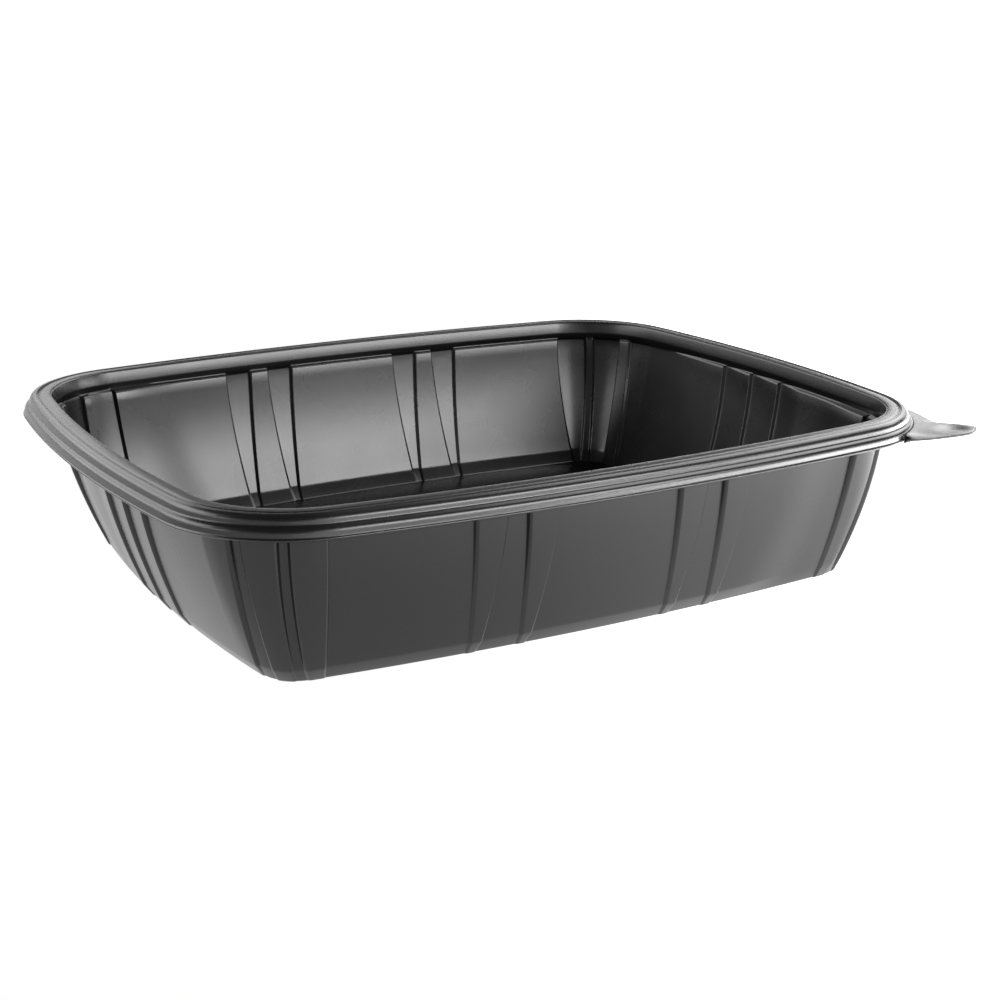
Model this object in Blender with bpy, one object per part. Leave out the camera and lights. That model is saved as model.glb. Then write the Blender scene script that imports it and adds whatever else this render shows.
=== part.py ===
"""An open, empty takeaway meal tray, thermoformed from one sheet of black plastic.

The sheet runs from the flat base up the ribbed walls, over the rim to its cut edge, and out into one
pull tab at a corner. The origin is at the middle of the base's underside. +X runs along the long side,
and the tab points between +X and -Y. The long walls have flutes pressed outwards, the short walls have
saw-toothed steps, and each corner has three flutes. Two opposite corners are drawn in a little.
"""

import math
from collections import namedtuple

import bmesh
import bpy
import numpy as np

MM = 0.001

# The sheet, the rim's top, the ledge where the wall begins and the strip where it turns in to the base
SHEET = 0.55 * MM
RIM_HEIGHT = 49.8 * MM
LEDGE_HEIGHT = RIM_HEIGHT - 6.0 * MM
STRIP_HEIGHT = 4.5 * MM
FLOOR_CORNER = 0.6 * MM

# Plans are to the inside face of the sheet: half sizes, then the radii of the bowed sides and corners
Plan = namedtuple("Plan", "half_length half_width long_radius short_radius corner_radius")
RIM = Plan(116.0 * MM, 92.7 * MM, 750.0 * MM, 468.0 * MM, 32.6 * MM)
WALL_HEAD = Plan(111.0 * MM, 87.7 * MM, 745.0 * MM, 463.0 * MM, 25.0 * MM)
WALL_FOOT = Plan(99.0 * MM, 78.3 * MM, 823.0 * MM, 506.0 * MM, 12.5 * MM)
BASE = Plan(96.2 * MM, 75.5 * MM, 820.0 * MM, 503.0 * MM, 9.8 * MM)

# How far the wall bows out between its foot and its head, as a share of its lean
WALL_BARREL = 0.11
WALL_ROWS = 3

# The rim's section from the ledge outwards: how far out of the rim's plan, and how far above its top
RIM_PROFILE = [
    (-3.9 * MM, -5.6 * MM),
    (-4.4 * MM, -3.7 * MM),
    (-3.7 * MM, 0.25 * MM),
    (-0.6 * MM, 0.25 * MM),
    (0.0 * MM, -0.15 * MM),
    (0.7 * MM, 0.3 * MM),
    (1.9 * MM, 0.05 * MM),
    (2.7 * MM, -0.9 * MM),
    (3.0 * MM, -2.3 * MM),
    (3.9 * MM, -2.9 * MM),
    (4.3 * MM, -3.7 * MM),
]
SKIRT_PROFILE = [(4.4 * MM, -5.1 * MM), (4.9 * MM, -5.4 * MM)]

# How far flutes and teeth are pressed out at the wall's head and foot, and how wide their steps are
FLUTE_DEPTH = (1.5 * MM, 0.7 * MM)
TOOTH_DEPTH = (1.1 * MM, 0.6 * MM)
STEP_RUN = 1.0 * MM
STRAIGHT, SLANTED = 1.0, 1.6

# Long walls: each flute's straight and slanted edge, as x on the back wall, at the head and the foot
LONG_FLUTES = [
    ((43.9 * MM, 40.4 * MM), (35.1 * MM, 38.0 * MM)),
    ((28.7 * MM, 25.2 * MM), (20.0 * MM, 23.0 * MM)),
    ((-18.4 * MM, -21.2 * MM), (-27.0 * MM, -23.6 * MM)),
    ((-33.5 * MM, -36.0 * MM), (-42.2 * MM, -38.6 * MM)),
]
LONG_PLAIN = [75.0 * MM, 60.0 * MM, 7.0 * MM, -6.0 * MM, -60.0 * MM, -75.0 * MM]

# Short walls: each tooth's step, as y on the right wall, at the head and the foot
TEETH = [(-8.2 * MM, -13.0 * MM), (6.9 * MM, 0.8 * MM), (21.2 * MM, 15.3 * MM)]
FIRST_RAMP = 11.0 * MM
SHORT_SHIFT = -4.3 * MM

# Past the last tooth the wall leans out to the next corner's flute: places and shares of its depth
SHORT_PLAIN = [(-48.0 * MM, 0.0), (36.0 * MM, 0.35), (50.0 * MM, 0.68)]

# Corners: the edges of their flutes, from the corner's middle, at the head and the foot
CORNER_EDGES = [(4.6 * MM, 2.5 * MM), (8.2 * MM, 6.8 * MM), (17.6 * MM, 10.7 * MM)]
CORNER_SHIFTS = {(1, 1): -1.8 * MM, (-1, 1): 1.8 * MM, (-1, -1): 1.8 * MM, (1, -1): 0.0}

# The wall is drawn in at the tab's corner and the one across from it, fading out along the sides
DRAWN_IN = 1.3 * MM
FADE_LENGTH = 22.0 * MM
FADE_ENDS = {"long": 56.0 * MM, "short": 30.0 * MM}

# Pull tab: how far its edge is past the cut edge, in mm, at angles round the corner from the short side
TAB_CORNER = (1, -1)
TAB_OUTLINE = [
    (10.5, 1.0), (17.0, 2.5), (24.0, 3.5), (32.0, 5.0), (35.5, 6.8), (36.7, 13.5), (38.0, 17.0),
    (41.0, 18.0), (44.5, 17.2), (48.5, 15.6), (54.0, 11.0), (61.0, 6.4), (68.5, 2.6), (73.5, 1.0),
]
TAB_PLACES = [-20.3, -19.6, -5.7, -2.7, 2.3, 10.7, 15.6, 16.4]
TAB_ROOT = (5.2 * MM, -3.85 * MM)
TAB_LEVELS = (-3.8 * MM, -5.4 * MM)
TAB_ROWS = 3

# The flange widens a little at the corner across from the tab
WIDE_CORNER = (-1, 1)
WIDENING = 1.8 * MM
WIDE_MIDDLE = 3.0 * MM
WIDE_HALF = 20.0 * MM

BLACK = (0.012, 0.012, 0.013, 1.0)
ROUGHNESS = 0.22

LONG, SHORT, CORNER = "long", "short", "corner"

# One upright line of the tray's mesh: its side, its quarter, where it runs and how far it is pressed out
Station = namedtuple("Station", "kind signs head foot bend depths")


def grown(plan, distance):
    return Plan(*(size + distance for size in plan))


def mixed(lower, upper, lean, height):
    """The plan between two others: its half sizes by the lean, its radii by the height."""
    shares = (lean, lean, height, height, height)
    return Plan(*(low + (high - low) * share for low, high, share in zip(lower, upper, shares)))


def corner_arc(plan):
    """The corner arc's centre, and its angles where it meets the short side and the long side."""
    long_centre_y = plan.half_width - plan.long_radius
    short_centre_x = plan.half_length - plan.short_radius
    to_long = plan.long_radius - plan.corner_radius
    to_short = plan.short_radius - plan.corner_radius
    gap = math.hypot(short_centre_x, long_centre_y)
    along = (to_long**2 - to_short**2 + gap**2) / (2 * gap)
    aside = math.sqrt(to_long**2 - along**2)
    unit_x, unit_y = short_centre_x / gap, -long_centre_y / gap
    x = unit_x * along + unit_y * aside
    y = long_centre_y + unit_y * along - unit_x * aside
    return x, y, math.atan2(y, x - short_centre_x), math.atan2(y - long_centre_y, x)


def plan_point(plan, kind, place):
    """A point of the plan's first quarter and the direction straight out of the plan there.

    The place is x on a long side, y on a short side, and on a corner the distance from its middle,
    positive towards the long side, running on along the sides.
    """
    long_centre_y = plan.half_width - plan.long_radius
    short_centre_x = plan.half_length - plan.short_radius
    if kind == LONG:
        angle = math.acos(place / plan.long_radius)
        centre, radius = (0.0, long_centre_y), plan.long_radius
    elif kind == SHORT:
        angle = math.asin(place / plan.short_radius)
        centre, radius = (short_centre_x, 0.0), plan.short_radius
    else:
        x, y, short_end, long_end = corner_arc(plan)
        half_arc = (long_end - short_end) / 2 * plan.corner_radius
        if place > half_arc:
            angle = long_end + (place - half_arc) / plan.long_radius
            centre, radius = (0.0, long_centre_y), plan.long_radius
        elif place < -half_arc:
            angle = short_end + (place + half_arc) / plan.short_radius
            centre, radius = (short_centre_x, 0.0), plan.short_radius
        else:
            angle = (short_end + long_end) / 2 + place / plan.corner_radius
            centre, radius = (x, y), plan.corner_radius
    out = (math.cos(angle), math.sin(angle))
    return (centre[0] + radius * out[0], centre[1] + radius * out[1]), out


def place_at(station, height):
    """Where the station's line is along its side, at a share of the wall's height."""
    return station.head + (station.foot - station.head) * max(1 - height, 0.0) ** station.bend


def drawn_in(station):
    """How far in the wall is here: full round two opposite corners, none at the middle of a side."""
    if station.kind == CORNER:
        return DRAWN_IN if station.signs[0] != station.signs[1] else 0.0
    share = (-station.head - FADE_ENDS[station.kind]) / FADE_LENGTH
    return DRAWN_IN * min(max(share, 0.0), 1.0)


def wall_point(station, plan, height, z):
    (x, y), out = plan_point(plan, station.kind, place_at(station, height))
    head_depth, foot_depth = station.depths
    depth = foot_depth + (head_depth - foot_depth) * height
    if z >= STRIP_HEIGHT:
        depth -= drawn_in(station)
    x_sign, y_sign = station.signs
    return (x_sign * (x + out[0] * depth), y_sign * (y + out[1] * depth), z)


def rim_point(station, offset, z):
    (x, y), out = plan_point(RIM, station.kind, station.head)
    x_sign, y_sign = station.signs
    return (x_sign * (x + out[0] * offset), y_sign * (y + out[1] * offset), z)


def step_pair(kind, signs, edge, before, after, bend=STRAIGHT):
    """The two lines of one step, from the depths before it to the depths after it."""
    head, foot = edge
    half = STEP_RUN / 2
    return [
        Station(kind, signs, head - half, foot - half, bend, before),
        Station(kind, signs, head + half, foot + half, bend, after),
    ]


def plain(kind, signs, head, foot, depths=(0.0, 0.0)):
    return Station(kind, signs, head, foot, STRAIGHT, depths)


def short_wall(turn):
    """Stations from the near end of the right wall to its far end; half a turn on for the left wall."""
    signs, shift = (turn, turn), turn * SHORT_SHIFT
    first_head, first_foot = TEETH[0]
    ramp = plain(SHORT, signs, first_head - FIRST_RAMP + shift, first_foot - FIRST_RAMP + shift)
    stations = [ramp]
    for head, foot in TEETH:
        edge = (head + shift, foot + shift)
        stations += step_pair(SHORT, signs, edge, TOOTH_DEPTH, (0.0, 0.0))
    for place, share in SHORT_PLAIN:
        depths = tuple(depth * share for depth in FLUTE_DEPTH)
        stations.append(plain(SHORT, signs, place, place * 0.9, depths))
    return sorted(stations, key=lambda station: station.head)


def long_wall(turn):
    """Stations along the back wall from +X to -X; half a turn on for the front wall."""
    signs = (turn, turn)
    stations = [plain(LONG, signs, place, place * 0.94) for place in LONG_PLAIN]
    for straight, slanted in LONG_FLUTES:
        stations += step_pair(LONG, signs, slanted, (0.0, 0.0), FLUTE_DEPTH, SLANTED)
        stations += step_pair(LONG, signs, straight, FLUTE_DEPTH, (0.0, 0.0))
    return sorted(stations, key=lambda station: -station.head)


def corner(signs):
    """Stations round one corner from its short side to its long side, across three flutes."""
    (middle_head, middle_foot), (inner_head, inner_foot), (outer_head, outer_foot) = CORNER_EDGES
    flat, flute = (0.0, 0.0), FLUTE_DEPTH
    shift = CORNER_SHIFTS[signs]
    beside = flute if signs[0] == signs[1] else flat
    edges = [
        ((-outer_head, -outer_foot), beside, flute, SLANTED),
        ((-inner_head, -inner_foot), flute, flat, STRAIGHT),
        ((-middle_head, -middle_foot), flat, flute, STRAIGHT),
        ((middle_head, middle_foot), flute, flat, STRAIGHT),
        ((inner_head, inner_foot), flat, flute, STRAIGHT),
        ((outer_head, outer_foot), flute, flat, SLANTED),
    ]
    stations = []
    for (head, foot), before, after, bend in edges:
        stations += step_pair(CORNER, signs, (head + shift, foot + shift), before, after, bend)
    side_head, side_foot = (outer_head + inner_head) / 2, (outer_foot + inner_foot) / 2
    for head, foot in ((-side_head, -side_foot), (0.0, 0.0), (side_head, side_foot)):
        stations.append(plain(CORNER, signs, head + shift, foot + shift, flute))
    if signs == TAB_CORNER:
        stations += tab_stations(stations, signs)
    return sorted(stations, key=lambda station: station.head)


def tab_stations(stations, signs):
    """Extra stations that give the tab its outline, each between its neighbours at head and foot."""
    ordered = sorted(stations, key=lambda station: station.head)
    heads = [station.head for station in ordered]
    feet = [station.foot for station in ordered]
    added = []
    for place in TAB_PLACES:
        head = place * MM
        if head < heads[0]:
            added.append(plain(CORNER, signs, head, feet[0] + (head - heads[0])))
        else:
            below = max(index for index, other in enumerate(heads) if other < head)
            foot = float(np.interp(head, heads, feet))
            added.append(plain(CORNER, signs, head, foot, ordered[below].depths))
    return added


def all_stations():
    """Every station, once round the tray, counter-clockwise from the right wall."""
    ring = []
    for turn in (1, -1):
        ring += short_wall(turn)
        ring += corner((turn, turn))
        ring += long_wall(turn)
        ring += corner((-turn, turn))[::-1]
    return ring


def tab_edge(station):
    """How far the tab's edge is out of the rim's plan and above its top, or None where there is no tab."""
    if station.kind != CORNER or station.signs != TAB_CORNER:
        return None
    _, _, short_end, long_end = corner_arc(RIM)
    angle = math.degrees((short_end + long_end) / 2 + station.head / RIM.corner_radius)
    angles, reaches = zip(*TAB_OUTLINE)
    if not angles[0] < angle < angles[-1]:
        return None
    reach = float(np.interp(angle, angles, reaches)) * MM
    level = float(np.interp(angle, (angles[0], angles[-1]), TAB_LEVELS))
    fall = min(reach / (3 * MM), 1.0)
    return SKIRT_PROFILE[-1][0] + reach, TAB_ROOT[1] + (level - TAB_ROOT[1]) * fall


def widening(station):
    if station.kind != CORNER or station.signs != WIDE_CORNER:
        return 0.0
    away = min(abs(station.head - WIDE_MIDDLE) / WIDE_HALF, 1.0)
    return WIDENING * (1 + math.cos(math.pi * away)) / 2


def column(station):
    """The station's points from the floor to the rim's shoulder, and then over its skirt."""
    points = [
        wall_point(station, grown(BASE, -FLOOR_CORNER), 0.0, SHEET),
        wall_point(station, grown(BASE, 0.1 * MM), 0.0, SHEET + FLOOR_CORNER),
    ]
    for row in range(WALL_ROWS + 2):
        share = row / (WALL_ROWS + 1)
        lean = share + WALL_BARREL * 4 * share * (1 - share)
        z = STRIP_HEIGHT + (LEDGE_HEIGHT - STRIP_HEIGHT) * share
        height = z / LEDGE_HEIGHT
        points.append(wall_point(station, mixed(WALL_FOOT, WALL_HEAD, lean, share), height, z))
    skirt = [(offset + widening(station), above) for offset, above in SKIRT_PROFILE]
    if tab_edge(station) is not None:
        skirt = [(TAB_ROOT[0] - 0.5 * MM, TAB_ROOT[1]), TAB_ROOT]
    for offset, above in RIM_PROFILE + skirt:
        points.append(rim_point(station, offset, RIM_HEIGHT + above))
    return points


def tab_points(station):
    end, level = tab_edge(station)
    points = []
    for row in range(1, TAB_ROWS + 1):
        share = row / TAB_ROWS
        offset = TAB_ROOT[0] + (end - TAB_ROOT[0]) * share
        above = TAB_ROOT[1] + (level - TAB_ROOT[1]) * share
        points.append(rim_point(station, offset, RIM_HEIGHT + above))
    return points


def skin(mesh, left, right):
    """Faces between two neighbouring lines of vertices, facing up and into the tray."""
    for low in range(len(left) - 1):
        mesh.faces.new((left[low], right[low], right[low + 1], left[low + 1]))


def build_tray():
    mesh = bmesh.new()
    stations = all_stations()
    columns = [[mesh.verts.new(point) for point in column(station)] for station in stations]
    for index, line in enumerate(columns):
        skin(mesh, columns[index - 1], line)
    mesh.faces.new([line[0] for line in columns])
    tab = [index for index, station in enumerate(stations) if tab_edge(station) is not None]
    tab_lines = [
        [columns[index][-1]] + [mesh.verts.new(point) for point in tab_points(stations[index])]
        for index in tab
    ]
    for left, right in zip(tab_lines, tab_lines[1:]):
        skin(mesh, left, right)
    bmesh.ops.recalc_face_normals(mesh, faces=mesh.faces)
    data = bpy.data.meshes.new("tray")
    mesh.to_mesh(data)
    mesh.free()
    tray = bpy.data.objects.new("tray", data)
    bpy.context.scene.collection.objects.link(tray)
    return tray


def thicken(tray):
    """Gives the sheet its thickness, outwards and down from the face that food touches."""
    solidify = tray.modifiers.new("Sheet", "SOLIDIFY")
    solidify.solidify_mode = "NON_MANIFOLD"
    solidify.nonmanifold_thickness_mode = "CONSTRAINTS"
    solidify.nonmanifold_boundary_mode = "FLAT"
    solidify.thickness = SHEET
    solidify.offset = -1.0


def paint(tray):
    material = bpy.data.materials.new("black_polypropylene")
    material.use_nodes = True
    surface = material.node_tree.nodes["Principled BSDF"]
    surface.inputs["Base Color"].default_value = BLACK
    surface.inputs["Roughness"].default_value = ROUGHNESS
    surface.inputs["Metallic"].default_value = 0.0
    tray.data.materials.append(material)


def main():
    for old in list(bpy.data.objects):
        bpy.data.objects.remove(old, do_unlink=True)
    tray = build_tray()
    thicken(tray)
    paint(tray)
    tray.data.shade_smooth()
    tray.data.set_sharp_from_angle(angle=math.radians(30))


main()
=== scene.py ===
"""An open, empty takeaway meal tray of black plastic, seen in a white photo studio.

The tray is one sheet of polypropylene, drawn by vacuum into a mould and cut out round its rim. Its mesh
is built from level rings: each ring has a plan, a height and the flutes that the mould presses into it.
"""

import math
from collections import namedtuple

import bpy
import numpy as np
from mathutils import Matrix, Vector


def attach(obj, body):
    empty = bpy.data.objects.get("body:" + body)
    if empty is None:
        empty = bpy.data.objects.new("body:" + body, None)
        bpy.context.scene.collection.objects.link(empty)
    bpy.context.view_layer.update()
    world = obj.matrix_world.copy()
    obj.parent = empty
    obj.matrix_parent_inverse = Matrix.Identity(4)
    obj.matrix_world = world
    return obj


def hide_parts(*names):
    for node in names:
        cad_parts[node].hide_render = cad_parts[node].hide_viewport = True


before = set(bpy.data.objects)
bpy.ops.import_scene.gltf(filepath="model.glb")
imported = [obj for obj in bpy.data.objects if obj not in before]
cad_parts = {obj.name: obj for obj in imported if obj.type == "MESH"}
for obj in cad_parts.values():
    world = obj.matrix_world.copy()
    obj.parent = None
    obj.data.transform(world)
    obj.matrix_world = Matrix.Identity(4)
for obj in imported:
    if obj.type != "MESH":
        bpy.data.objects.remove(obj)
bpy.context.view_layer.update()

MM = 0.001
SHEET = 0.55
RIM_HEIGHT = 49.8

# Plans in millimetres: half sizes, then the radii of the bowed long sides, short sides and corners
RIM = np.array([116.0, 92.7, 750.0, 468.0, 32.6])
WALL_HEAD = np.array([111.0, 87.7, 745.0, 463.0, 25.0])
WALL_FOOT = np.array([99.0, 78.3, 823.0, 506.0, 12.5])
BASE = np.array([96.2, 75.5, 820.0, 503.0, 9.8])
LEDGE_HEIGHT = RIM_HEIGHT - 6.0
STRIP_HEIGHT = 4.5

# The wall swells by this share of its slope's reach halfway up
WALL_BARREL = 0.11
WALL_RINGS = 12
WALL_HEAD_RADIUS = 0.45

# The base's edge from the flat floor outwards: out of the base's plan, its share of the flutes' depth,
# and how round it is
BASE_EDGE = [(-6.0, 0.0, 0.0), (-2.0, 0.2, 0.5), (0.1, 0.6, 0.5)]
STRIP_RADIUS = 0.5

# The rim's section from the ledge outwards: out of the rim's plan, above its top, and how round it is
RIM_PROFILE = [
    (-3.9, -5.6, 0.5),
    (-4.4, -3.7, 0.4),
    (-3.7, 0.25, 0.5),
    (-0.6, 0.25, 0.35),
    (0.0, -0.15, 0.2),
    (0.6, 0.35, 0.35),
    (1.9, 0.1, 0.7),
    (2.75, -0.9, 0.5),
    (2.95, -2.4, 0.4),
    (3.9, -2.85, 0.45),
    (4.35, -3.7, 0.4),
]
SKIRT_PROFILE = [(4.45, -5.05, 0.25), (4.89, -5.45, 0.0)]
SKIRT_RINGS = 5

# A rounded corner of the section takes at most this share of the way to the next corner
ROUNDING_LIMIT = 0.45
ROUNDING_SHARES = (0.0, 0.33, 0.67, 1.0)

# Flutes and teeth: how far they are pressed out at the wall's head and foot, and their steps' width
FLUTE_DEPTH = (1.5, 0.7)
TOOTH_DEPTH = (1.1, 0.6)
FLAT = (0.0, 0.0)
STEP_RUN = 0.9

# How a flute's edge runs from head to foot: as a straight line, or bending most near the head
STRAIGHT, SLANTED = 1.0, 1.6

# Long walls: each flute's straight and slanted edge, as x on the back wall, at the head and the foot
LONG_FLUTES = [
    ((43.9, 40.4), (35.1, 38.0)),
    ((28.7, 25.2), (20.0, 23.0)),
    ((-18.4, -21.2), (-27.0, -23.6)),
    ((-33.5, -36.0), (-42.2, -38.6)),
]

# Short walls: each tooth's step, as y on the right wall, at the head and the foot
TEETH = [(-8.2, -13.0), (6.9, 0.8), (21.2, 15.3)]
FIRST_RAMP = 11.0
SHORT_SHIFT = -4.3

# Corners: the six edges of their three flutes from the short side on, at the head and the foot
CORNER_EDGES = {
    (1, 1): [(-20.0, -16.5), (-10.4, -12.5), (-6.4, -5.9), (3.3, -0.4), (6.2, 2.5), (16.5, 4.9)],
    (-1, 1): [(-16.6, -8.7), (-6.2, -4.8), (-2.6, -0.5), (7.3, 4.5), (10.6, 8.8), (19.3, 12.7)],
    (-1, -1): [(-14.6, -11.0), (-6.4, -6.3), (-2.9, -1.6), (5.9, 2.7), (9.2, 6.1), (17.8, 10.1)],
    (1, -1): [(-17.6, -10.7), (-8.2, -6.8), (-4.6, -2.5), (4.6, 2.5), (8.2, 6.8), (17.6, 10.7)],
}

# Mesh columns: how many across a step, and how far apart elsewhere, finer at the tab's corner
STEP_COLUMNS = 6
COLUMN_SPACING, TAB_COLUMN_SPACING = 3.2, 0.8
TAB_CORNER = 7

# Edges sharper than this angle are shaded sharp, and so are the steps' ends in every row that has at
# least this share of the flutes' depth
SHARP_ANGLE = math.radians(40)
LEAST_DEPTH = 0.02

# Pull tab on the corner between +X and -Y: how far its edge is past the cut edge, by the angle in
# degrees round the corner from the short side. It follows the photograph, and its tip stays inside the
# part's box.
TAB_OUTLINE = [
    (7.0, 0.0), (10.5, 0.8), (14.0, 1.9), (17.0, 2.5), (21.0, 3.0), (24.0, 3.5), (28.0, 4.1),
    (32.0, 5.0), (34.5, 6.0), (35.6, 7.4), (36.1, 9.5), (36.6, 12.8), (37.2, 15.6), (38.2, 17.0),
    (39.6, 17.6), (41.2, 17.7), (43.0, 17.5), (44.5, 17.2), (46.5, 16.2), (48.5, 14.6), (51.5, 11.8),
    (54.3, 9.4), (57.6, 6.8), (61.2, 4.2), (64.0, 2.3), (67.0, 0.6), (69.0, 0.0),
]
TAB_LEAST = 0.2

# The tab grows from a level root, out of the rim's plan and above its top, that starts under the shoulder
TAB_ROOT = (5.2, -3.85)
SHOULDER_FOOT = 4.4
ROOT_REACH = 2.5

# The tab droops from one of these levels to the other between two angles
TAB_LEVELS = (-3.8, -5.4)
TAB_SPAN = (10.5, 73.5)
TAB_SHARES = (0.06, 0.14, 0.22, 0.3, 0.38, 0.46, 0.54, 0.62, 0.7, 0.78, 0.86, 0.93, 1.0)

# A thumb dimple in the tab: its middle and half size, in degrees and in shares of the tab, and depth
DIMPLE_MIDDLE, DIMPLE_HALF, DIMPLE_DEPTH = (44.0, 0.62), (6.0, 0.3), 0.7

# The flange widens a little at the corner across from the tab: how much, where and half how far
WIDENING, WIDE_MIDDLE, WIDE_HALF = 1.8, 3.0, 20.0

# The wall is drawn in at the tab's corner and the one across from it, fading out along the sides
DRAWN_IN, FULL_REACH, FADE_LENGTH = 1.3, 22.0, 22.0

# Camera, fitted to the tray's outlines in the photograph, with the tray's middle as its target
AZIMUTH, ROLL = math.radians(-29.92), math.radians(0.17)
CAMERA_HEIGHT_ANGLE = 16.70
DISTANCE, ASIDE, RAISED = 546.66 * MM, 11.29 * MM, -7.58 * MM
TARGET = Vector((0.0, 0.0, 25.0 * MM))
LENS, SENSOR = 64.16, 36.0
CLIP_START = 10.0 * MM

# Softboxes: bearing round from the camera towards its right, height angle, size in metres, radiance.
# Most strengths come from a least squares fit of small renders, one for each lamp, to the photograph's
# brightness, and are rounded. The key, the two low ones, the floor panel, the world's strength and the
# floor's even light with its painted rise were set one by one.
SOFTBOX_DISTANCE = 2.0
WORLD_STRENGTH = 0.06
SOFTBOXES = [
    ("front_softbox", 0.0, 16.0, (1.05, 0.42), 0.4),
    ("front_right_softbox", 30.0, 16.0, (1.05, 0.42), 2.0),
    ("right_key_softbox", 52.0, 19.0, (1.05, 0.62), 15.0),
    ("right_low_softbox", 90.0, 6.5, (1.05, 0.22), 11.0),
    ("right_top_softbox", 120.0, 53.0, (1.4, 0.78), 5.3),
    ("rear_right_top_softbox", 135.0, 32.0, (1.4, 0.7), 6.3),
    ("rear_right_softbox", 150.0, 16.0, (1.05, 0.42), 3.1),
    ("rear_low_softbox", 180.0, 7.0, (1.4, 0.21), 1.0),
    ("rear_softbox", 180.0, 32.0, (1.4, 0.7), 0.4),
    ("rear_left_softbox", 210.0, 16.0, (1.05, 0.42), 1.8),
    ("rear_left_top_softbox", 225.0, 32.0, (1.4, 0.7), 2.7),
    ("left_rear_softbox", 240.0, 16.0, (1.05, 0.42), 3.6),
    ("left_softbox", 270.0, 16.0, (1.05, 0.42), 4.8),
    ("left_top_softbox", 270.0, 32.0, (1.4, 0.7), 5.5),
    ("left_front_softbox", 300.0, 16.0, (1.05, 0.42), 4.4),
    ("front_left_softbox", 330.0, 16.0, (1.05, 0.42), 0.8),
]

# One panel lies just above the floor to the right: bearing, distance, size and radiance
FLOOR_PANEL = ("right_floor_panel", 90.0, 0.95, (1.2, 1.0), 25.0)
PANEL_HEIGHT = 3.0 * MM

# The floor's even light from below and its painted rise, a painted pool of light, and between which
# places across the picture it rises towards the right
GLOW_AND_PAINTED_LIGHT = (1.0, 3.0)
PAINTED_LIGHT_ACROSS = (-0.02, 0.22)

# The light table is level out to the first radius in metres, and its edge curls up on the second one
TABLE_RADIUS, CURL_RADIUS = 2.0, 0.5
CURL_STEPS, CURL_STEP = 8, math.radians(7.5)
TABLE_SIDES = 96

# Plastic: the black, how far its grain lightens and darkens it, and how its roughness varies
BLACK = "0E0E0F"
GRAIN_TINT = {"To Min": 0.7, "To Max": 1.3}
POLISH = {"To Min": 0.22, "To Max": 0.32}

# The floor's white and roughness, and the index of refraction of polypropylene and acrylic alike
OPAL_WHITE, OPAL_ROUGHNESS = "959595", 0.85
PLASTIC_IOR = 1.49

# Sizes in millimetres of the sheet's orange peel, grain and clouding, and of the floor's tooth. The
# grain and the tooth are finer on the real sheets, and are drawn as coarse as they need to show.
PEEL, GRAIN, CLOUD, TOOTH = 2.0, 1 / 2.4, 25.0, 1 / 1.5

# How strong their bumps are, and how deep in millimetres
PEEL_RELIEF, GRAIN_RELIEF, TOOTH_RELIEF = (0.3, 0.02), (0.5, 0.02), (0.1, 0.05)

# A station sets the flutes' depth at the wall's head and foot. Its places there are measured from the
# middle of one of the four sides and four corners, counted round from the right wall. A row is one
# level ring of the mesh.
Station = namedtuple("Station", "corner place foot bend depths step")
Row = namedtuple("Row", "plan z height depth inset")


def arcs(plan):
    """A quarter of the plan: the corner's centre, its end angles and the length of its three arcs."""
    half_length, half_width, long_radius, short_radius, corner_radius = plan
    long_centre, short_centre = half_width - long_radius, half_length - short_radius
    to_long, to_short = long_radius - corner_radius, short_radius - corner_radius
    gap = math.hypot(short_centre, long_centre)
    along = (to_long**2 - to_short**2 + gap**2) / (2 * gap)
    aside = math.sqrt(to_long**2 - along**2)
    unit = (short_centre / gap, -long_centre / gap)
    x = unit[0] * along + unit[1] * aside
    y = long_centre + unit[1] * along - unit[0] * aside
    short_end = math.atan2(y, x - short_centre)
    long_end = math.atan2(y - long_centre, x)
    lengths = (
        short_end * short_radius,
        (long_end - short_end) * corner_radius,
        (math.pi / 2 - long_end) * long_radius,
    )
    return (x, y), (short_end, long_end), lengths


def ring(plan, way):
    """The plan's points and the directions out of it, by the distance from the right wall's middle."""
    (x, y), (short_end, long_end), lengths = arcs(plan)
    quarter = sum(lengths)
    index = np.floor(way / quarter).astype(int) % 4
    rest = way - np.floor(way / quarter) * quarter
    rest = np.where(index % 2 == 1, quarter - rest, rest)
    on_short = rest < lengths[0]
    on_long = rest > lengths[0] + lengths[1]
    angle = short_end + (rest - lengths[0]) / plan[4]
    angle = np.where(on_short, rest / plan[3], angle)
    angle = np.where(on_long, math.pi / 2 - (quarter - rest) / plan[2], angle)
    centre_x = np.where(on_short, plan[0] - plan[3], np.where(on_long, 0.0, x))
    centre_y = np.where(on_short, 0.0, np.where(on_long, plan[1] - plan[2], y))
    radius = np.where(on_short, plan[3], np.where(on_long, plan[2], plan[4]))
    out = np.stack([np.cos(angle), np.sin(angle)], axis=1)
    signs = np.array([(1, 1), (-1, 1), (-1, -1), (1, -1)])[index]
    points = np.stack([centre_x, centre_y], axis=1) + radius[:, None] * out
    return points * signs, out * signs


def way_of(plan, station, height):
    """How far along the plan a station is, where the wall has this share of its height."""
    _, _, lengths = arcs(plan)
    quarter, middle = sum(lengths), lengths[0] + lengths[1] / 2
    starts = [0.0, middle, quarter, 2 * quarter - middle]
    start = starts[station.corner % 4] + station.corner // 4 * 2 * quarter
    return start + station.place + (station.foot - station.place) * max(1 - height, 0) ** station.bend


def step_pair(corner, edge, before, after, bend=STRAIGHT):
    """The two stations of a step from one depth to another, centred on an edge."""
    head, foot = edge
    half = STEP_RUN / 2
    return [
        Station(corner, head - half, foot - half, bend, before, True),
        Station(corner, head + half, foot + half, bend, after, False),
    ]


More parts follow.
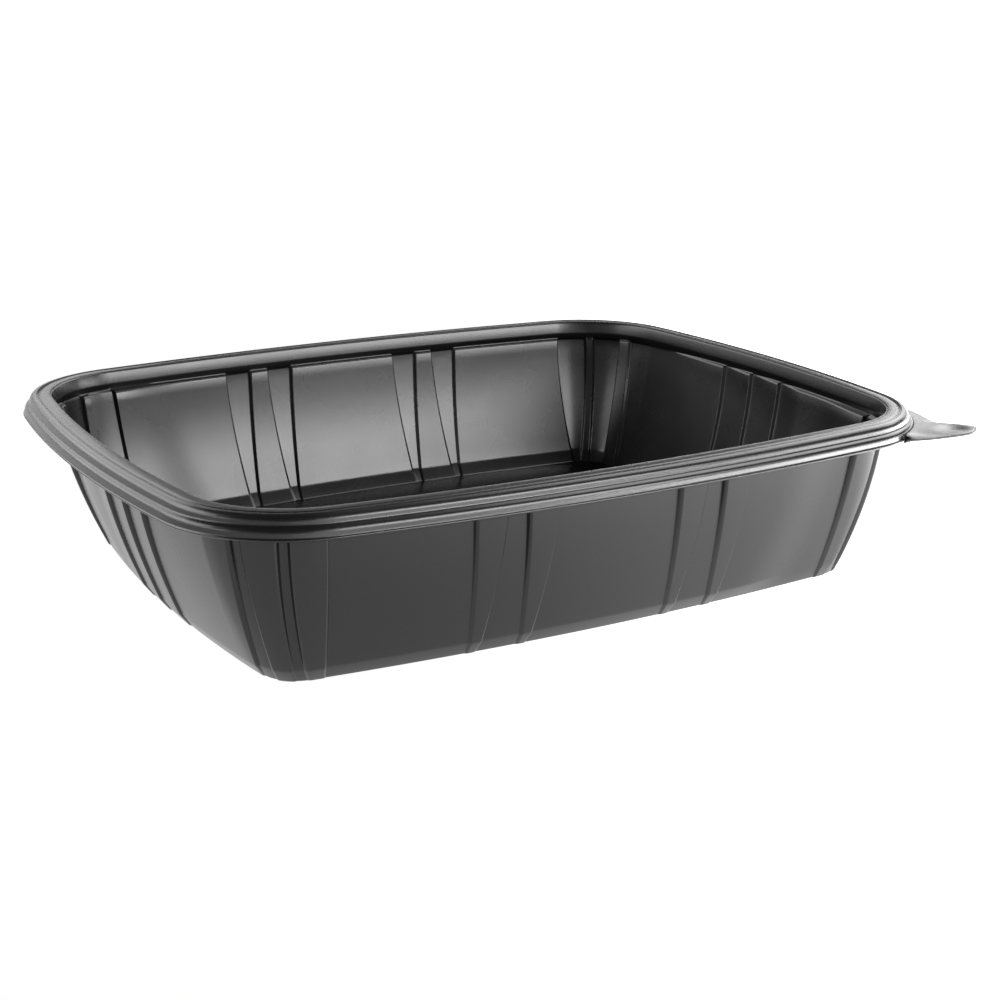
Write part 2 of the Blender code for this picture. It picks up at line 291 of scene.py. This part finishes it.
def short_wall(corner, turn):
    """A short wall's stations: a flat start, then three ramps that each end in a step back."""
    shift = turn * SHORT_SHIFT
    first_head, first_foot = TEETH[0]
    start_head, start_foot = first_head - FIRST_RAMP + shift, first_foot - FIRST_RAMP + shift
    stations = [Station(corner, start_head, start_foot, STRAIGHT, FLAT, False)]
    for head, foot in TEETH:
        stations += step_pair(corner, (head + shift, foot + shift), TOOTH_DEPTH, FLAT)
    return stations


def long_wall(corner):
    """A long wall's stations: four flutes, each from its straight edge to its slanted one."""
    stations = []
    for straight, slanted in LONG_FLUTES:
        straight, slanted = [(-head, -foot) for head, foot in (straight, slanted)]
        stations += step_pair(corner, straight, FLAT, FLUTE_DEPTH)
        stations += step_pair(corner, slanted, FLUTE_DEPTH, FLAT, SLANTED)
    return stations


def corner_flutes(corner, signs):
    """A corner's stations: three flutes. At two corners the first ramps out from the short wall."""
    edges = CORNER_EDGES[signs]
    if signs[0] != signs[1]:
        edges = [(-head, -foot) for head, foot in reversed(edges)]
    stations = []
    for number, edge in enumerate(edges):
        before, after = (FLAT, FLUTE_DEPTH) if number % 2 == 0 else (FLUTE_DEPTH, FLAT)
        if signs[0] == signs[1] and number == 0:
            before = FLUTE_DEPTH
        bend = SLANTED if number in (0, len(edges) - 1) else STRAIGHT
        stations += step_pair(corner, edge, before, after, bend)
    return stations


def all_stations():
    """Every station once round the tray, from the right wall's middle through +Y."""
    stations = short_wall(0, 1) + corner_flutes(1, (1, 1)) + long_wall(2) + corner_flutes(3, (-1, 1))
    stations += short_wall(4, -1) + corner_flutes(5, (-1, -1)) + long_wall(6)
    return stations + corner_flutes(7, (1, -1))


def fine_columns(stations):
    """For each fine column: the station before it, and its share of the way to the next one."""
    ways = [way_of(WALL_HEAD, station, 1.0) for station in stations]
    ways.append(ways[0] + 4 * sum(arcs(WALL_HEAD)[2]))
    columns = []
    for index, station in enumerate(stations):
        spacing = ways[index + 1] - ways[index]
        finest = TAB_COLUMN_SPACING if station.corner == TAB_CORNER else COLUMN_SPACING
        count = STEP_COLUMNS if station.step else max(2, math.ceil(spacing / finest))
        columns += [(index, part / count) for part in range(count)]
    return columns


def ways_of(plan, height, stations, columns):
    """How far along the plan each fine column is."""
    ways = np.array([way_of(plan, station, height) for station in stations])
    ways = np.append(ways, ways[0] + 4 * sum(arcs(plan)[2]))
    index, share = [np.array(values) for values in zip(*columns)]
    return ways[index] + (ways[index + 1] - ways[index]) * share


def depths_of(height, stations, columns):
    """How deep the flutes are at each fine column, where the wall has this share of its height."""
    depths = np.array([s.depths[1] + (s.depths[0] - s.depths[1]) * height for s in stations])
    depths = np.append(depths, depths[0])
    index, share = [np.array(values) for values in zip(*columns)]
    stepped = np.array([stations[i].step for i in index])
    eased = np.where(stepped, smooth(share), share)
    return depths[index] + (depths[index + 1] - depths[index]) * eased


def smooth(share):
    """The share eased at both its ends."""
    return share * share * (3 - 2 * share)


def drawn_in(plan, way):
    """How far in the wall is: full round two opposite corners, none at the middle of a side."""
    _, _, lengths = arcs(plan)
    half_turn, middle = 2 * sum(lengths), lengths[0] + lengths[1] / 2
    away = np.abs((way + middle + half_turn / 2) % half_turn - half_turn / 2)
    return DRAWN_IN * smooth(np.clip((FULL_REACH + FADE_LENGTH - away) / FADE_LENGTH, 0.0, 1.0))


def ring_of(row, stations, columns):
    """The row's points in millimetres, once round the tray."""
    ways = ways_of(row.plan, row.height, stations, columns)
    points, out = ring(row.plan, ways)
    depths = depths_of(row.height, stations, columns)
    offset = depths * row.depth - drawn_in(row.plan, ways) * row.inset
    points = points + out * offset[:, None]
    return np.column_stack([points, np.full(len(points), row.z)])


def blended(a, b, share):
    """The row that is a share of the way from one row to another."""
    parts = [one + (other - one) * share for one, other in zip(a, b)]
    return Row(*parts)


def spaced(a, b):
    """How far apart two rows are in the section."""
    return math.hypot(a.plan[0] - b.plan[0], a.z - b.z)


def rounded(rows_and_radii):
    """The rows, with each corner of the section that has a radius turned into a small arc."""
    rows = [row for row, _ in rows_and_radii]
    section = [rows[0]]
    for index, (row, radius) in enumerate(rows_and_radii[1:-1], start=1):
        if radius == 0:
            section.append(row)
            continue
        before, after = rows[index - 1], rows[index + 1]
        start = blended(row, before, min(ROUNDING_LIMIT, radius / spaced(row, before)))
        end = blended(row, after, min(ROUNDING_LIMIT, radius / spaced(row, after)))
        for share in ROUNDING_SHARES:
            section.append(blended(blended(start, row, share), blended(row, end, share), share))
    return section + [rows[-1]]


def wall_rows():
    """The rows of the sloping wall, from the strip's top to the ledge."""
    rows = []
    for number in range(WALL_RINGS + 1):
        share = number / WALL_RINGS
        lean = share + WALL_BARREL * 4 * share * (1 - share)
        plan = WALL_FOOT + (WALL_HEAD - WALL_FOOT) * np.array([lean, lean, share, share, share])
        z = STRIP_HEIGHT + (LEDGE_HEIGHT - STRIP_HEIGHT) * share
        rows.append(Row(plan, z, z / LEDGE_HEIGHT, 1.0, 1.0))
    return rows


def section_rows():
    """Every row from the floor's edge up the wall and over the rim to the cut edge."""
    wall = wall_rows()
    rows = [(Row(BASE + out, SHEET, 0.0, depth, 0.0), radius) for out, depth, radius in BASE_EDGE]
    rows += [(wall[0], STRIP_RADIUS)]
    rows += [(row, 0.0) for row in wall[1:-1]]
    rows += [(wall[-1], WALL_HEAD_RADIUS)]
    for out, up, radius in RIM_PROFILE + SKIRT_PROFILE:
        rows.append((Row(RIM + out, RIM_HEIGHT + up, 1.0, 0.0, 0.0), radius))
    return rounded(rows)


def tab_columns(ways):
    """The fine columns that the tab grows from, each with its angle, and its edge's reach and level."""
    _, (short_end, long_end), lengths = arcs(RIM)
    middle = 4 * sum(lengths) - lengths[0] - lengths[1] / 2
    degrees = np.degrees((short_end + long_end) / 2 + (middle - ways) / RIM[4])
    angles, reaches = zip(*TAB_OUTLINE)
    reach = np.interp(degrees, angles, reaches)
    level = np.interp(degrees, TAB_SPAN, TAB_LEVELS)
    inside = np.nonzero(reach > TAB_LEAST)[0]
    return [(index, degrees[index], reach[index], level[index]) for index in inside]


def turned_level(reach):
    """How far the skirt has turned into the tab's level root, by the tab's reach."""
    return smooth(min(reach / ROOT_REACH, 1.0))


def dimple(degrees, share):
    """How deep the thumb dimple is at a place on the tab."""
    across = (degrees - DIMPLE_MIDDLE[0]) / DIMPLE_HALF[0]
    along = (share - DIMPLE_MIDDLE[1]) / DIMPLE_HALF[1]
    return DIMPLE_DEPTH * max(0.0, 1.0 - across * across - along * along)


def tab_points(start, rim, out, degrees, reach, level):
    """The tab's points from the shoulder's foot to its edge."""
    cut_out, cut_level, _ = SKIRT_PROFILE[-1]
    edge_level = cut_level + (level - cut_level) * turned_level(reach)
    end = np.array((*(rim + out * (cut_out + reach)), RIM_HEIGHT + edge_level))
    points = []
    for share in TAB_SHARES:
        x, y, z = start + (end - start) * share
        points.append((x, y, z - dimple(degrees, share)))
    return points


def widening(ways):
    """How much wider the flange is at each fine column."""
    _, _, lengths = arcs(RIM)
    middle = 2 * sum(lengths) - lengths[0] - lengths[1] / 2 - WIDE_MIDDLE
    away = np.minimum(np.abs(ways - middle) / WIDE_HALF, 1.0)
    return WIDENING * (1 + np.cos(math.pi * away)) / 2


def shape_skirt(skirt, rim, out, ways, tab):
    """Widen the skirt's rings at one corner, and turn them level where the tab grows from them."""
    for number, points in enumerate(skirt, start=1):
        points[:, :2] += out * (widening(ways) * number / SKIRT_RINGS)[:, None]
        offset = SHOULDER_FOOT + (TAB_ROOT[0] - SHOULDER_FOOT) * number / SKIRT_RINGS
        for column, _, reach, _ in tab:
            root = np.array((*(rim[column] + out[column] * offset), RIM_HEIGHT + TAB_ROOT[1]))
            points[column] += (root - points[column]) * turned_level(reach)


def ring_faces(rings, count):
    """The faces between neighbouring rings, and the floor inside the first one."""
    faces = []
    for level in range(rings - 1):
        low, high = level * count, (level + 1) * count
        for index in range(count):
            after = (index + 1) % count
            faces.append((low + index, high + index, high + after, low + after))
    return faces + [tuple(range(count))]


def line_faces(lines):
    """The faces between neighbouring lines of vertices."""
    faces = []
    for left, right in zip(lines, lines[1:]):
        for low in range(len(left) - 1):
            faces.append((left[low], left[low + 1], right[low + 1], right[low]))
    return faces


def sharpen_steps(mesh, stations, columns, rows):
    """Mark both ends of every step sharp, so that the panels beside it stay evenly shaded."""
    count = len(columns)
    ends = set()
    for number, (index, share) in enumerate(columns):
        if share == 0 and (stations[index].step or stations[index - 1].step):
            ends.add(number)
    last = max(level for level, row in enumerate(rows) if row.depth > LEAST_DEPTH)
    for edge in mesh.edges:
        low, high = edge.vertices
        if low % count == high % count and low % count in ends and max(low, high) // count <= last:
            edge.use_edge_sharp = True


def tray_mesh():
    """The upper face of the sheet: the rings, the floor inside them and the pull tab."""
    stations = all_stations()
    columns = fine_columns(stations)
    rows = section_rows()
    rings = [ring_of(row, stations, columns) for row in rows]
    count = len(columns)
    ways = ways_of(RIM, 1.0, stations, columns)
    rim, out = ring(RIM, ways)
    tab = tab_columns(ways)
    shape_skirt(rings[-SKIRT_RINGS:], rim, out, ways, tab)
    vertices = [tuple(point) for points in rings for point in points]
    lines = []
    for column, degrees, reach, level in tab:
        first = len(vertices)
        vertices += tab_points(rings[-1][column], rim[column], out[column], degrees, reach, level)
        lines.append([(len(rings) - 1) * count + column] + list(range(first, len(vertices))))
    faces = ring_faces(len(rings), count) + line_faces(lines)
    mesh = bpy.data.meshes.new("tray_sheet")
    mesh.from_pydata([tuple(c * MM for c in point) for point in vertices], [], faces)
    mesh.update()
    mesh.shade_smooth()
    mesh.set_sharp_from_angle(angle=SHARP_ANGLE)
    sharpen_steps(mesh, stations, columns, rows)
    return mesh


def build_tray():
    """The tray: its upper face, given the sheet's thickness downwards and outwards."""
    tray = bpy.data.objects.new("tray_sheet", tray_mesh())
    bpy.context.scene.collection.objects.link(tray)
    solidify = tray.modifiers.new("Sheet", "SOLIDIFY")
    solidify.thickness = SHEET * MM
    solidify.offset = -1.0
    solidify.use_quality_normals = True
    return tray


def linear(code):
    """A colour from its sRGB hex code, as linear red, green, blue and one."""
    parts = [int(code[index:index + 2], 16) / 255 for index in (0, 2, 4)]
    return tuple(c / 12.92 if c <= 0.04045 else ((c + 0.055) / 1.055) ** 2.4 for c in parts) + (1.0,)


def add(tree, kind, settings=(), links=()):
    """A node with its settings, and links from other nodes' outputs to its inputs."""
    node = tree.nodes.new(kind)
    for name, value in dict(settings).items():
        if name in node.inputs:
            node.inputs[name].default_value = value
        else:
            setattr(node, name, value)
    for source, output, socket in links:
        tree.links.new(source.outputs[output], node.inputs[socket])
    return node


def noise(tree, place, size, detail=2.0):
    """A noise pattern with a real size in millimetres."""
    settings = {"Scale": 1 / (size * MM), "Detail": detail}
    return add(tree, "ShaderNodeTexNoise", settings, [(place, "Object", "Vector")])


def bump(tree, pattern, relief, under=None):
    """A bump from a pattern, on top of another bump where there is one."""
    strength, depth = relief
    links = [(pattern, "Fac", "Height")]
    if under:
        links.append((under, "Normal", "Normal"))
    return add(tree, "ShaderNodeBump", {"Strength": strength, "Distance": depth * MM}, links)


def polypropylene():
    """Black polypropylene sheet, extruded, then drawn by vacuum into a smooth mould.

    The rollers leave a faint orange peel, which makes the reflections waver. The fine grain breaks up
    the black a little. Stretching leaves some patches glossier than others.
    """
    material = bpy.data.materials.new("black_polypropylene")
    material.use_nodes = True
    tree = material.node_tree
    surface = tree.nodes["Principled BSDF"]
    surface.inputs["IOR"].default_value = PLASTIC_IOR
    place = add(tree, "ShaderNodeTexCoord")
    peel = noise(tree, place, PEEL)
    grain = noise(tree, place, GRAIN)
    cloud = noise(tree, place, CLOUD, 3.0)
    tint = add(tree, "ShaderNodeMapRange", GRAIN_TINT, [(grain, "Fac", "Value")])
    colour = add(tree, "ShaderNodeVectorMath", {"operation": "SCALE"}, [(tint, "Result", "Scale")])
    colour.inputs[0].default_value = linear(BLACK)[:3]
    tree.links.new(colour.outputs["Vector"], surface.inputs["Base Color"])
    polish = add(tree, "ShaderNodeMapRange", POLISH, [(cloud, "Fac", "Value")])
    tree.links.new(polish.outputs["Result"], surface.inputs["Roughness"])
    relief = bump(tree, grain, GRAIN_RELIEF, bump(tree, peel, PEEL_RELIEF))
    tree.links.new(relief.outputs["Normal"], surface.inputs["Normal"])
    return material


def opal_acrylic():
    """Cast opal acrylic sheet with a fine blasted tooth, lit from below.

    The tooth keeps the tray's reflection soft and faint, and the light from below keeps the sheet white.
    Painted light makes the sheet shine brighter towards the right, a painted pool of light.
    """
    material = bpy.data.materials.new("opal_acrylic")
    material.use_nodes = True
    tree = material.node_tree
    surface = tree.nodes["Principled BSDF"]
    surface.inputs["Base Color"].default_value = linear(OPAL_WHITE)
    surface.inputs["IOR"].default_value = PLASTIC_IOR
    surface.inputs["Roughness"].default_value = OPAL_ROUGHNESS
    surface.inputs["Emission Color"].default_value = linear("FFFFFF")
    place = add(tree, "ShaderNodeTexCoord")
    # Painted light: the floor's emission rises towards the right, a painted pool of light standing in for
    # light falling from that side
    across = add(tree, "ShaderNodeVectorMath", {"operation": "DOT_PRODUCT"}, [(place, "Object", 0)])
    across.inputs[1].default_value = (math.cos(AZIMUTH), math.sin(AZIMUTH), 0.0)
    easing = {"interpolation_type": "SMOOTHSTEP"}
    glow_and_painted_light = add(tree, "ShaderNodeMapRange", easing, [(across, "Value", "Value")])
    glow_and_painted_light.inputs["From Min"].default_value, glow_and_painted_light.inputs["From Max"].default_value = PAINTED_LIGHT_ACROSS
    glow_and_painted_light.inputs["To Min"].default_value, glow_and_painted_light.inputs["To Max"].default_value = GLOW_AND_PAINTED_LIGHT
    tree.links.new(glow_and_painted_light.outputs["Result"], surface.inputs["Emission Strength"])
    relief = bump(tree, noise(tree, place, TOOTH), TOOTH_RELIEF)
    tree.links.new(relief.outputs["Normal"], surface.inputs["Normal"])
    return material


def build_floor():
    """A round light table whose edge curves up all the way round, like a shallow dish."""
    vertices = []
    for number in range(CURL_STEPS + 1):
        turn = number * CURL_STEP
        radius = TABLE_RADIUS + CURL_RADIUS * math.sin(turn)
        up = CURL_RADIUS - CURL_RADIUS * math.cos(turn)
        for side in range(TABLE_SIDES):
            angle = 2 * math.pi * side / TABLE_SIDES
            vertices.append((radius * math.cos(angle), radius * math.sin(angle), up))
    faces = [tuple(range(TABLE_SIDES))]
    for low in range(0, CURL_STEPS * TABLE_SIDES, TABLE_SIDES):
        high = low + TABLE_SIDES
        for side in range(TABLE_SIDES):
            after = (side + 1) % TABLE_SIDES
            faces.append((low + side, low + after, high + after, high + side))
    mesh = bpy.data.meshes.new("studio_floor")
    mesh.from_pydata(vertices, [], faces)
    mesh.shade_smooth()
    floor = bpy.data.objects.new("studio_floor", mesh)
    floor.data.materials.append(opal_acrylic())
    bpy.context.scene.collection.objects.link(floor)


def towards(bearing, height):
    """The direction from the tray at a bearing round from the camera's side and a height in degrees."""
    bearing, height = AZIMUTH + math.radians(bearing), math.radians(height)
    return Vector(
        (
            math.sin(bearing) * math.cos(height),
            -math.cos(bearing) * math.cos(height),
            math.sin(height),
        )
    )


def place_camera():
    """The camera, with its small roll and its target a little off the picture's middle."""
    back = towards(0.0, CAMERA_HEIGHT_ANGLE)
    right = Vector((math.cos(AZIMUTH), math.sin(AZIMUTH), 0.0))
    up = back.cross(right)
    right, up = (
        right * math.cos(ROLL) + up * math.sin(ROLL),
        up * math.cos(ROLL) - right * math.sin(ROLL),
    )
    place = TARGET + back * DISTANCE + right * ASIDE + up * RAISED
    camera = bpy.data.objects.new("camera", bpy.data.cameras.new("camera"))
    camera.data.lens = LENS
    camera.data.sensor_width = SENSOR
    camera.data.clip_start = CLIP_START
    camera.matrix_world = Matrix.Translation(place) @ Matrix((right, up, back)).transposed().to_4x4()
    bpy.context.scene.collection.objects.link(camera)
    bpy.context.scene.camera = camera


def softbox(name, place, back, size, strength):
    """A rectangular lamp whose even face looks away from the direction called back."""
    lamp = bpy.data.lights.new(name, "AREA")
    lamp.shape = "RECTANGLE"
    lamp.size, lamp.size_y = size
    lamp.energy = strength * size[0] * size[1] * math.pi
    light = bpy.data.objects.new(name, lamp)
    light.location = place
    light.rotation_mode = "QUATERNION"
    light.rotation_quaternion = back.to_track_quat("Z", "Y")
    bpy.context.scene.collection.objects.link(light)


def light_studio():
    """The softboxes round the tray, the panel near the floor and a faint fill from everywhere."""
    world = bpy.data.worlds.new("studio")
    world.use_nodes = True
    background = world.node_tree.nodes["Background"]
    background.inputs["Color"].default_value = linear("FFFFFF")
    background.inputs["Strength"].default_value = WORLD_STRENGTH
    bpy.context.scene.world = world
    for name, bearing, height, size, strength in SOFTBOXES:
        back = towards(bearing, height)
        softbox(name, TARGET + back * SOFTBOX_DISTANCE, back, size, strength)
    name, bearing, distance, size, strength = FLOOR_PANEL
    place = towards(bearing, 0.0) * distance + Vector((0.0, 0.0, PANEL_HEIGHT))
    softbox(name, place, Vector((0.0, 0.0, -1.0)), size, strength)
    bpy.context.scene.view_settings.view_transform = "Standard"


def main():
    """The tray in its material, and the studio round it."""
    tray = build_tray()
    tray.data.materials.append(polypropylene())
    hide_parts("tray")
    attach(tray, "root")
    build_floor()
    place_camera()
    light_studio()


main()
